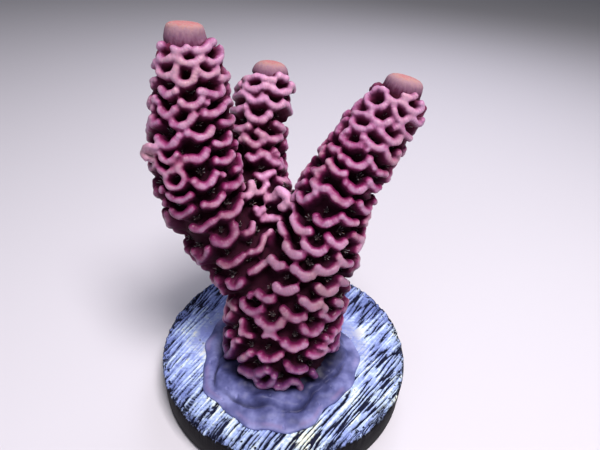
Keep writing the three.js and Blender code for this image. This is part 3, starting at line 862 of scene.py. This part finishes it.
stripes = addNode(tree, "ShaderNodeMapRange",
                  {"Value": striped, "From Min": 0.3, "From Max": 0.7, "To Min": -0.075, "To Max": 0.075})
upTip = addNode(tree, "ShaderNodeMath", {0: stripes, 1: tip}, operation="ADD")
tipColour = addNode(tree, "ShaderNodeValToRGB", {"Fac": upTip})
setStops(tipColour, [(0.0, "#3c1029"), (0.22, "#5b2a46"), (0.5, "#815c73"), (0.78, "#997883"),
                     (0.93, "#a67e7a"), (1.0, "#a86c6e")])
onTip = addNode(tree, "ShaderNodeMapRange", {"Value": tip, "From Min": -0.08, "From Max": 0.1})
skin = addNode(tree, "ShaderNodeMix", {"Factor": onTip, 6: skin, 7: tipColour}, data_type="RGBA")
onLips = addNode(tree, "ShaderNodeMapRange",
                 {"Value": height, "From Min": 0.4, "From Max": 0.8, "To Max": 0.5})
for amount, code in ((trunkShade, "#431a34"), (foot, "#3a3260")):        # painted shade: a darker band on the trunk, a darker lavender foot
    share = addNode(tree, "ShaderNodeMath", {0: amount, 1: onLips}, operation="MULTIPLY")
    skin = addNode(tree, "ShaderNodeMix", {"Factor": share, 6: skin, 7: toLinear(code)}, data_type="RGBA")
gloss = addNode(tree, "ShaderNodeMapRange",
                {"Value": height, "From Min": 0.4, "From Max": 0.8, "To Min": 0.95, "To Max": 0.34})
turns = addNode(tree, "ShaderNodeMath", {0: along, 1: 2 * math.pi / tissueSizes["rib"]}, operation="MULTIPLY")
wander = addNode(tree, "ShaderNodeMath", {0: mottle, 1: 9.0, 2: turns}, operation="MULTIPLY_ADD")
wave = addNode(tree, "ShaderNodeMath", {0: wander}, operation="SINE")
ribbed = addNode(tree, "ShaderNodeMapRange",
                 {"Value": height, "From Min": 0.55, "From Max": 0.85, "To Max": 0.18})
ribs = addNode(tree, "ShaderNodeMath", {0: wave, 1: ribbed, 2: grain}, operation="MULTIPLY_ADD")
ridged = addNode(tree, "ShaderNodeMath", {0: onTip, 1: stripes}, operation="MULTIPLY")
relief = addNode(tree, "ShaderNodeMath", {0: ridged, 1: 2.5, 2: ribs}, operation="MULTIPLY_ADD")
bump = addNode(tree, "ShaderNodeBump",
               {"Height": relief, "Strength": 0.5, "Distance": tissueSizes["relief"] * toMetre})
setInputs(shader, {"Base Color": skin, "Roughness": gloss, "Normal": bump, "Specular IOR Level": 0.22,
                   "Subsurface Weight": 0.12, "Subsurface Radius": (1.0, 0.35, 0.3),
                   "Subsurface Scale": 0.3 * toMetre})

coralNodes = {"trunk": ("coralTrunk", "coral_trunk"), "left": ("leftFinger", "left_branch"),
              "middle": ("middleFinger", "middle_branch"), "right": ("rightFinger", "right_branch")}
for name, (title, node) in coralNodes.items():
    finishPiece(coralPieces[name], title, tissue, node)
print("coral dressed")


# The polyps: one half-drawn-in crown of arms above every dip of a lip

polyp = {"foot": 0.2, "mouth": 0.15, "column": 0.34, "arms": 7, "armLength": 0.34, "armWidth": 0.08,
         "armPoint": 0.2, "armSpread": 0.8, "armSunk": 0.03, "splay": 34, "above": 0.4, "sunk": 0.24,
         "lean": 0.7, "underCap": 2.0, "leastReach": 0.75, "sizeSway": 0.4, "lengthSway": 0.8,
         "turnSway": 0.5, "spin": 6, "sides": 8, "armSides": 4, "blend": 0.05, "lipEnds": 2, "dipReach": 4}


def modelPolyp():        # a short column with a ring of tapered arms, mouth up
    letGo()
    bpy.ops.mesh.primitive_cone_add(vertices=polyp["sides"], radius1=polyp["foot"], radius2=polyp["mouth"],
                                    depth=polyp["column"])
    column = newPiece("polyp")
    arms = []
    for k in range(polyp["arms"]):
        letGo()
        bpy.ops.mesh.primitive_cone_add(
            vertices=polyp["armSides"], radius1=polyp["armWidth"],
            radius2=polyp["armPoint"] * polyp["armWidth"], depth=polyp["armLength"],
            location=(0, 0, polyp["armLength"] / 2))
        arm = newPiece("arm")
        splay = Matrix.Rotation(math.radians(polyp["splay"] * (1 + uneven(k + 0.5))), 4, "Y")
        outwards = polyp["armSpread"] * polyp["mouth"]
        foot = Matrix.Translation((outwards, 0, polyp["column"] / 2 - polyp["armSunk"]))
        place = (k + polyp["turnSway"] * uneven(k + 0.7)) / polyp["arms"]
        spin = Matrix.Rotation(2 * math.pi * place, 4, "Z")
        longer = Matrix.Scale(1 + polyp["lengthSway"] * uneven(k + 0.2), 4, (0, 0, 1))
        arm.matrix_world = spin @ foot @ splay @ longer
        settlePlace()
        arms.append(arm)
    joined(column, *arms)
    high = verticesOf(column)[:, 2]
    paint(column, "arm", easeIn(polyp["column"] / 2 - polyp["blend"], high.max(), high))
    return column


def dipsOf(bar):        # the lowest places of a lip's bends
    if bar["reach"] < polyp["leastReach"]:
        return []
    line, ends, reach = bar["line"], polyp["lipEnds"], polyp["dipReach"]
    heights = [spot["place"].dot(line[len(line) // 2]["along"]) for spot in line]
    dips = [i for i in range(ends, len(line) - ends)
            if heights[i] == min(heights[max(0, i - reach):i + reach + 1])]
    spots = [line[i] for i in dips] or [line[len(line) // 2]]
    return [spot for spot in spots if spot["branch"] in webs
            or spot["travel"] < spines[spot["branch"]]["capStart"] - polyp["underCap"]]


def polypMatrix(dip, girth, seed):
    seat = settle((dip["branch"],), dip["place"] + dip["along"] * (girth + polyp["above"]), -polyp["sunk"])
    up = (seat["outward"] + seat["along"] * polyp["lean"]).normalized()
    sideways = up.cross(seat["along"]).normalized()
    turn = Matrix((sideways, up.cross(sideways), up)).transposed().to_4x4()
    spin = Matrix.Rotation(polyp["spin"] * uneven(seed), 4, "Z")
    size = Matrix.Scale(1 + polyp["sizeSway"] * uneven(seed + 0.3), 4)
    return Matrix.Translation(seat["place"]) @ turn @ spin @ size


def copyTo(mould, matrix):
    copy = mould.copy()
    copy.data = mould.data.copy()
    bpy.context.collection.objects.link(copy)
    copy.matrix_world = matrix
    return copy


mould = modelPolyp()
polypPieces = {}
for name in coralPieces:
    crowns = []
    for i, bar in enumerate(bars):
        if pieceOf(bar) == name:
            for k, dip in enumerate(dipsOf(bar)):
                crowns.append(copyTo(mould, polypMatrix(dip, bar["girth"], 7 * i + k)))
    polypPieces[name] = joined(*crowns)
    settlePlace()
    print(name, "polyps:", len(crowns))
takeUp(mould)
bpy.ops.object.delete()

# Polyp flesh: soft and wet, brownish at the foot and pale grey at the arms' ends

flesh, tree, shader = newMaterial("polyp_flesh")
arm = addNode(tree, "ShaderNodeAttribute", attribute_name="arm")
fleshColour = addNode(tree, "ShaderNodeValToRGB", {"Fac": arm})
setStops(fleshColour, [(0.0, "#2a1119"), (0.45, "#4f3f45"), (1.0, "#8e8d8c")])
setInputs(shader, {"Base Color": fleshColour, "Roughness": 0.35, "Subsurface Weight": 0.1,
                   "Subsurface Scale": 0.2 * toMetre})
for name, piece in polypPieces.items():
    finishPiece(piece, name + "Polyps", flesh, None)


# The disc: a scored ceramic face with a chipped rim
# A noise is its size and its seed, and a band is where it starts and where it is full

disc = {"cells": 280, "sunk": 0.03, "chip": 0.16, "edge": 0.3, "under": 0.25, "depth": 0.3, "round": 0.1,
        "rubble": 0.05, "rubbleNoise": (0.5, 3.0), "rimChips": 0.22, "chipNoise": (0.9, 8.0), "ragged": 0.3,
        "ragNoise": (0.7, 14.0), "notch": 0.12, "chipBand": (1.6, 0.3), "ragBand": (1.0, 0.25),
        "brinkBand": (1.3, 0.3), "bottomHeights": (0, 0.08, 0.4), "bottomWidths": (0.955, 0.985, 1.0),
        "glare": 1.3, "glareBand": (-10, 9), "glareLean": 0.3, "evenAt": 0.75, "bluest": -0.45}
film = {"edge": (0.6, 2.6), "patchy": 0.6, "patchNoise": (1.4, 61.0),
        "backBand": (-5.0, 1.0)}        # of putty, behind the collar
scores = {"angle": 57, "fan": 0.013, "length": 5.5, "width": 0.42, "line": 0.2, "strength": 1.3, "seed": 11.3,
          "breakLength": 2.2, "breakWidth": 0.15, "break": 0.6, "breakSeed": 47.6, "moreAtRim": 0.06,
          "rimBand": (6.5, 12.0), "moreInFront": 0.05, "frontBand": (4.0, 11.0), "fewerUnderFilm": 0.75,
          "cut": (0.1, 0.3), "wallCut": (-0.3, 0.15), "rounded": (-0.5, 0.05), "ridge": (-0.5, 0.0)}
glue = {"cells": 190, "x": -0.55, "y": -2.2, "radius": 7.95, "height": 1.7, "lumps": 0.3,
        "lumpNoise": (2.6, 21.0), "dimples": 0.18, "dimpleNoise": (0.8, 5.0), "pits": 0.25,
        "pitNoise": (0.55, 33.0), "pitBand": (0.5, 0.62), "moat": 0.6, "moatBand": (0.3, 2.0),
        "moatHeight": 1, "moatSway": 0.5, "moatNoise": (1.3, 2.0), "fold": 0.78, "foldDrop": 0.5,
        "foldBand": (-0.03, 0.03), "foldSway": 0.04, "foldNoise": (1.5, 9.0), "crease": 0.2,
        "creaseLine": (0.02, 0.02), "creaseNoise": (3.0, 17.0), "creaseShade": 0.75,
        "brinkLine": (0.95, 0.025), "brinkNoise": (2.0, 27.0), "gaps": (-0.3, 0.2), "thinned": 0.8,
        "outerBand": (0.35, 0.9), "outerHeight": 0.55, "least": 0.12, "lift": 0.03, "below": 0.15}


def roundSheet(name, cells):        # a grid drawn in to a circle of radius 1, facing up
    letGo()
    bpy.ops.mesh.primitive_grid_add(x_subdivisions=cells, y_subdivisions=cells, size=2)
    sheet = newPiece(name)
    places = verticesOf(sheet)
    x, y = places[:, 0].copy(), places[:, 1].copy()
    places[:, 0] = x * np.sqrt(1 - y * y / 2)
    places[:, 1] = y * np.sqrt(1 - x * x / 2)
    moveVertices(sheet, places)
    return sheet


def closeBelow(sheet, stages):        # draws the edge down in stages of height and width, and closes it
    takeUp(sheet)
    bpy.ops.object.mode_set(mode="EDIT")
    bpy.ops.mesh.select_mode(type="EDGE")
    bpy.ops.mesh.select_all(action="DESELECT")
    bpy.ops.mesh.select_non_manifold(extend=False)
    for height, width in stages:
        bpy.ops.mesh.extrude_edges_move(TRANSFORM_OT_translate={"value": (0, 0, 0)})
        bpy.ops.transform.resize(value=(width, width, 0), center_override=(0, 0, height))
    bpy.ops.mesh.edge_face_add()
    bpy.ops.mesh.select_all(action="SELECT")
    bpy.ops.mesh.normals_make_consistent(inside=False)
    letGo()


def filmOn(x, y):        # 1 where a thin film of putty covers the face, behind the collar
    gap = np.hypot(x - glue["x"], y - glue["y"]) - glue["radius"]
    gap = gap + film["patchy"] * cloud(np.column_stack([x, y, 0 * x]), *film["patchNoise"])
    return (1 - easeIn(*film["edge"], gap)) * easeIn(*film["backBand"], y)


def scoreLines(x, y):        # above 0 in the scores, below 0 on the ridges between them
    turn = math.radians(scores["angle"])
    lengthwise = x * math.cos(turn) + y * math.sin(turn)
    crosswise = (y * math.cos(turn) - x * math.sin(turn)) / (1 + scores["fan"] * lengthwise)
    lines, breaks = (
        cloud(np.column_stack([lengthwise / scores[length], crosswise / scores[width], 0 * x]),
              1.0, scores[seed])
        for length, width, seed in (("length", "width", "seed"), ("breakLength", "breakWidth", "breakSeed")))
    streak = scores["strength"] * (scores["line"] - np.abs(lines)) + scores["break"] * breaks
    streak = streak + scores["moreAtRim"] * easeIn(*scores["rimBand"], np.hypot(x, y))
    streak = streak + scores["moreInFront"] * easeIn(*scores["frontBand"], -y)
    return streak - scores["fewerUnderFilm"] * filmOn(x, y)


def towardsRim(reach, band):        # a band is measured inwards from the rim
    return easeIn(discRadius - band[0], discRadius - band[1], reach)


base = roundSheet("disc", disc["cells"])
places = verticesOf(base)
places[:, :2] *= discRadius - disc["chip"]
reach = np.hypot(places[:, 0], places[:, 1])
streak = scoreLines(places[:, 0], places[:, 1])
cut = easeIn(*scores["cut"], streak)
dip = disc["depth"] * cut + disc["round"] * easeIn(*scores["rounded"], streak)
nearRim = towardsRim(reach, disc["chipBand"])
rubble = disc["rubble"] * np.maximum(cloud(places, *disc["rubbleNoise"]), 0)
chips = disc["rimChips"] * nearRim * np.maximum(cloud(places, *disc["chipNoise"]), 0)
places[:, 2] = discTop - disc["sunk"] - dip * (1 + nearRim) - rubble - chips
broken = disc["ragged"] * np.maximum(cloud(places, *disc["ragNoise"]), 0) + disc["notch"] * cut
broken *= towardsRim(reach, disc["ragBand"])
places[:, :2] *= 1 - (broken / np.maximum(reach, 1))[:, None]        # the rim is ragged
moveVertices(base, places)
faceCount, ringCount = len(places), 4 * disc["cells"]
edge = discTop - disc["edge"]
wallStages = (edge - disc["under"], discTop / 2, *reversed(disc["bottomHeights"]))
closeBelow(base, ((edge, discRadius / (discRadius - disc["chip"])), *((stage, 1.0) for stage in wallStages)))
places = verticesOf(base)
reach = np.hypot(places[:, 0], places[:, 1])
outline = np.interp(places[:, 2], disc["bottomHeights"], disc["bottomWidths"]) * discRadius
turned = np.arange(len(places)) >= faceCount + ringCount        # the wall below the broken edge is round
places[:, :2] *= np.where(turned, outline / np.maximum(reach, 1), 1)[:, None]
moveVertices(base, places)
x, y = places[:, 0], places[:, 1]
streak = scoreLines(x, y)
onWall = np.where(turned, 1.0, 0.0)
onWall[faceCount:faceCount + ringCount] = easeIn(*scores["wallCut"], streak[faceCount:faceCount + ringCount])
# painted glare: the face whiter towards the front right, and painted shade bluer towards the back left
glare = easeIn(*disc["glareBand"], disc["glareLean"] * x - y) - disc["evenAt"]        # to the front right
paint(base, "score", easeIn(*scores["cut"], streak) * (1 - onWall))
# ridges: bluish white, with painted highlights on the crests and the painted glare added
paint(base, "ridge", 1 - easeIn(*scores["ridge"], streak)
      + disc["glare"] * np.maximum(glare, disc["bluest"]))
# painted shade: the wall below the rim
paint(base, "wall", onWall)
paint(base, "brink", towardsRim(reach, disc["brinkBand"]))
paint(base, "film", filmOn(x, y))

# Unglazed ceramic, scored while soft: bluish white ridges with painted highlights, painted glare to the front
# right and painted shade to the back left, dark growth in the scores, a wall painted dark as shade

ceramicSizes = {"patch": 3.8462, "fleck": 0.38462, "brush": 0.19231, "brushLength": 2.5,
                "pores": 0.08}        # in millimetres
ceramic, tree, shader = newMaterial("unglazed_ceramic")
score, wall, ridge, brink, filmed = (addNode(tree, "ShaderNodeAttribute", attribute_name=name)
                                     for name in ("score", "wall", "ridge", "brink", "film"))
spot = addNode(tree, "ShaderNodeTexCoord")
patch, fleck = (
    addNode(tree, "ShaderNodeTexNoise",
            {"Vector": spot, "Scale": perMetre(ceramicSizes[name]), "Detail": detail})
    for name, detail in (("patch", 4), ("fleck", 3)))
flecked = addNode(tree, "ShaderNodeMapRange",
                  {"Value": fleck, "From Min": 0.3, "From Max": 0.7, "To Min": -0.09, "To Max": 0.09})
spotted = addNode(tree, "ShaderNodeMath", {0: patch, 1: flecked}, operation="ADD")
worn = addNode(tree, "ShaderNodeMath", {0: ridge, 1: 0.2, 2: spotted}, operation="MULTIPLY_ADD")
# the palest stops, yellowish white, are painted highlights and glare
face = addNode(tree, "ShaderNodeValToRGB", {"Fac": worn})
setStops(face, [(0.34, "#7080ba"), (0.46, "#8fa1d8"), (0.57, "#a9bee8"), (0.67, "#cce1f0"),
                (0.77, "#f2f9e4")])
brushScale = (perMetre(ceramicSizes["brushLength"]), perMetre(ceramicSizes["brush"]), 1)
drawn = addNode(tree, "ShaderNodeMapping",
                {"Vector": spot, "Rotation": (0, 0, -math.radians(scores["angle"])), "Scale": brushScale})
brushed = addNode(tree, "ShaderNodeTexNoise", {"Vector": drawn, "Scale": 1, "Detail": 3})
depth = addNode(tree, "ShaderNodeMath", {0: brushed, 1: 1.1, 2: score}, operation="MULTIPLY_ADD")
inScore = addNode(tree, "ShaderNodeMapRange", {"Value": depth, "From Min": 0.62, "From Max": 1.15})
dirtied = addNode(tree, "ShaderNodeMath", {0: brink, 1: 0.17, 2: fleck}, operation="MULTIPLY_ADD")
dirt = addNode(tree, "ShaderNodeMapRange", {"Value": dirtied, "From Min": 0.66, "From Max": 0.76})
darkened = addNode(tree, "ShaderNodeMath", {0: inScore, 1: dirt}, operation="MAXIMUM")
smeared = addNode(tree, "ShaderNodeMath", {0: filmed, 1: 0.75}, operation="MULTIPLY")
# the putty film, growth in the scores with dirt at the rim, and the wall painted dark as shade
for share, code in ((smeared, "#747dc0"), (darkened, "#131730"), (wall, "#0d0b12")):
    face = addNode(tree, "ShaderNodeMix", {"Factor": share, 6: face, 7: toLinear(code)}, data_type="RGBA")
pores = addNode(tree, "ShaderNodeBump",
                {"Height": fleck, "Strength": 0.35, "Distance": ceramicSizes["pores"] * toMetre})
setInputs(shader, {"Base Color": face, "Normal": pores, "Roughness": 0.75, "Specular IOR Level": 0.15})
finishPiece(base, "fragDisc", ceramic, "frag_disc")
print("disc made")


# The glue: a pressed collar of putty with a folded edge, dimples and a few pits

glueLobes = ((0.035, 3, 0.6), (0.03, 5, 2.1), (0.02, 9, 0.0), (0.012, 17, 1.2))        # size, lobes and start
foldLobes = ((0.05, 2, 0.4), (0.035, 5, 1.0))


def lobed(lobes, around):
    return sum(size * np.sin(count * around + start) for size, count, start in lobes)


def brokenLine(values, at, width, noiseName):        # 1 along a thin line, with gaps in it
    return np.exp(-((values - at) / width) ** 2) * easeIn(*glue["gaps"], cloud(places, *glue[noiseName]))


collar = roundSheet("collar", glue["cells"])
places = verticesOf(collar)
share = np.clip(np.hypot(places[:, 0], places[:, 1]), 0, 1)
around = np.arctan2(places[:, 1], places[:, 0])
spread = share * glue["radius"] * (1 + lobed(glueLobes, around))
places = np.column_stack([spread * np.cos(around), spread * np.sin(around), 0 * share])
places += (glue["x"], glue["y"], 0)
thinned = glue["thinned"] * easeIn(*film["backBand"], places[:, 1])        # smeared at the back
swell = np.sqrt(np.clip(1 - share ** 4, 0, 1)) * (1 - thinned) + np.clip(1 - share ** 2, 0, 1) * thinned
outer = easeIn(*glue["outerBand"], share)
slope = glue["outerHeight"] + (1 - glue["outerHeight"]) * (1 - outer)
pastFold = share - glue["fold"] - lobed(foldLobes, around)
pastFold -= glue["foldSway"] * cloud(places, *glue["foldNoise"])
crease = brokenLine(pastFold, *glue["creaseLine"], "creaseNoise")
lumps = glue["lumps"] * cloud(places, *glue["lumpNoise"])
lumps += glue["dimples"] * cloud(places, *glue["dimpleNoise"])
lumps -= glue["foldDrop"] * easeIn(*glue["foldBand"], pastFold) + glue["crease"] * crease
lumps -= glue["pits"] * easeIn(*glue["pitBand"], cloud(places, *glue["pitNoise"]))
ground = np.column_stack([places[:, :2], np.full(len(places), discTop + glue["moatHeight"])])
fromCoral = outsideCore(branches["right"]["spine"], ground)
fromCoral += glue["moatSway"] * cloud(places, *glue["moatNoise"])
moat = 1 - easeIn(*glue["moatBand"], fromCoral)
thick = np.maximum(glue["height"] * slope + lumps - glue["moat"] * moat, glue["least"])
places[:, 2] = discTop + glue["lift"] + swell * thick
moveVertices(collar, places)
# painted shade in the moat beside the coral and along the crease
paint(collar, "glueShade", np.maximum(moat, glue["creaseShade"] * crease))
paint(collar, "outer", outer)
paint(collar, "edge", brokenLine(share, *glue["brinkLine"], "brinkNoise"))
closeBelow(collar, ((discTop - glue["below"], 1.0),))

# Epoxy putty, pressed on by hand: lavender grey, satin, a little blotched

puttySizes = {"blotch": 2.2222, "crumb": 0.33333, "relief": 0.1}        # in millimetres
putty, tree, shader = newMaterial("epoxy_putty_satin")
outer, edge, glueShade = (addNode(tree, "ShaderNodeAttribute", attribute_name=name)
                       for name in ("outer", "edge", "glueShade"))
spot = addNode(tree, "ShaderNodeTexCoord")
blotch, crumb = (
    addNode(tree, "ShaderNodeTexNoise", {"Vector": spot, "Scale": perMetre(puttySizes[name]), "Detail": 3})
    for name in ("blotch", "crumb"))
paler = addNode(tree, "ShaderNodeMath", {0: outer, 1: 0.14, 2: blotch}, operation="MULTIPLY_ADD")
colour = addNode(tree, "ShaderNodeValToRGB", {"Fac": paler})
setStops(colour, [(0.36, "#2a2d56"), (0.52, "#444979"), (0.64, "#606599"), (0.8, "#888ec2")])
edgeShare = addNode(tree, "ShaderNodeMath", {0: edge, 1: 0.35}, operation="MULTIPLY")
# pinkish brink line, and painted shade in the moat and crease
for share, code in ((edgeShare, "#957aa4"), (glueShade, "#171736")):
    colour = addNode(tree, "ShaderNodeMix", {"Factor": share, 6: colour, 7: toLinear(code)}, data_type="RGBA")
bump = addNode(tree, "ShaderNodeBump",
               {"Height": crumb, "Strength": 0.25, "Distance": puttySizes["relief"] * toMetre})
setInputs(shader, {"Base Color": colour, "Normal": bump, "Roughness": 0.52, "Specular IOR Level": 0.3})
finishPiece(collar, "glueCollar", putty, "glue_collar")
print("glue made")


# Camera, a floor of matt pale paper that shows soft shadows only, and light

backdrop = {"size": 3, "drop": 0.00005}        # in metres
letGo()
bpy.ops.object.camera_add()
eye = bpy.context.object
turn = Matrix((across, upward, -ahead)).transposed().to_4x4()
eye.matrix_world = Matrix.Translation(eyePlace * toMetre) @ turn
eye.data.lens = view["lens"]
eye.data.sensor_width = view["sensor"]
eye.data.clip_start = view["nearest"] * toMetre
bpy.context.scene.camera = eye

letGo()
bpy.ops.mesh.primitive_plane_add(size=backdrop["size"], location=(0, 0, -backdrop["drop"]))
floor = bpy.context.object
floor.name = "floor"
paper, tree, shader = newMaterial("pale_paper")
setInputs(shader, {"Base Color": toLinear("#d4d4da"), "Roughness": 0.9})
floor.data.materials.append(paper)

lampAim = Vector((0, 0, 0.016))
lamps = {        # place in metres, watts, width in metres and colour
    "key": ((0.035, -0.05, 0.17), 0.39, 0.06, "#fff6f8"),
    "fill": ((-0.1, -0.14, 0.1), 0.05, 0.12, "#f2f0ff"),
    "back": ((0.04, 0.12, 0.13), 0.1, 0.08, "#f4f0ff"),
}
for name, (spot, watts, width, code) in lamps.items():
    letGo()
    bpy.ops.object.light_add(type="AREA", location=spot)
    lamp = bpy.context.object
    lamp.name = name
    lamp.data.energy = watts
    lamp.data.size = width
    lamp.data.color = toLinear(code)[:3]
    lamp.rotation_euler = (lampAim - Vector(spot)).to_track_quat("-Z", "Y").to_euler()

world = bpy.data.worlds.new("studio")
bpy.context.scene.world = world
world.use_nodes = True
setInputs(world.node_tree.nodes["Background"], {"Color": toLinear("#c9ccd6"), "Strength": 0.15})
bpy.context.scene.view_settings.view_transform = "Standard"
print("stage set")
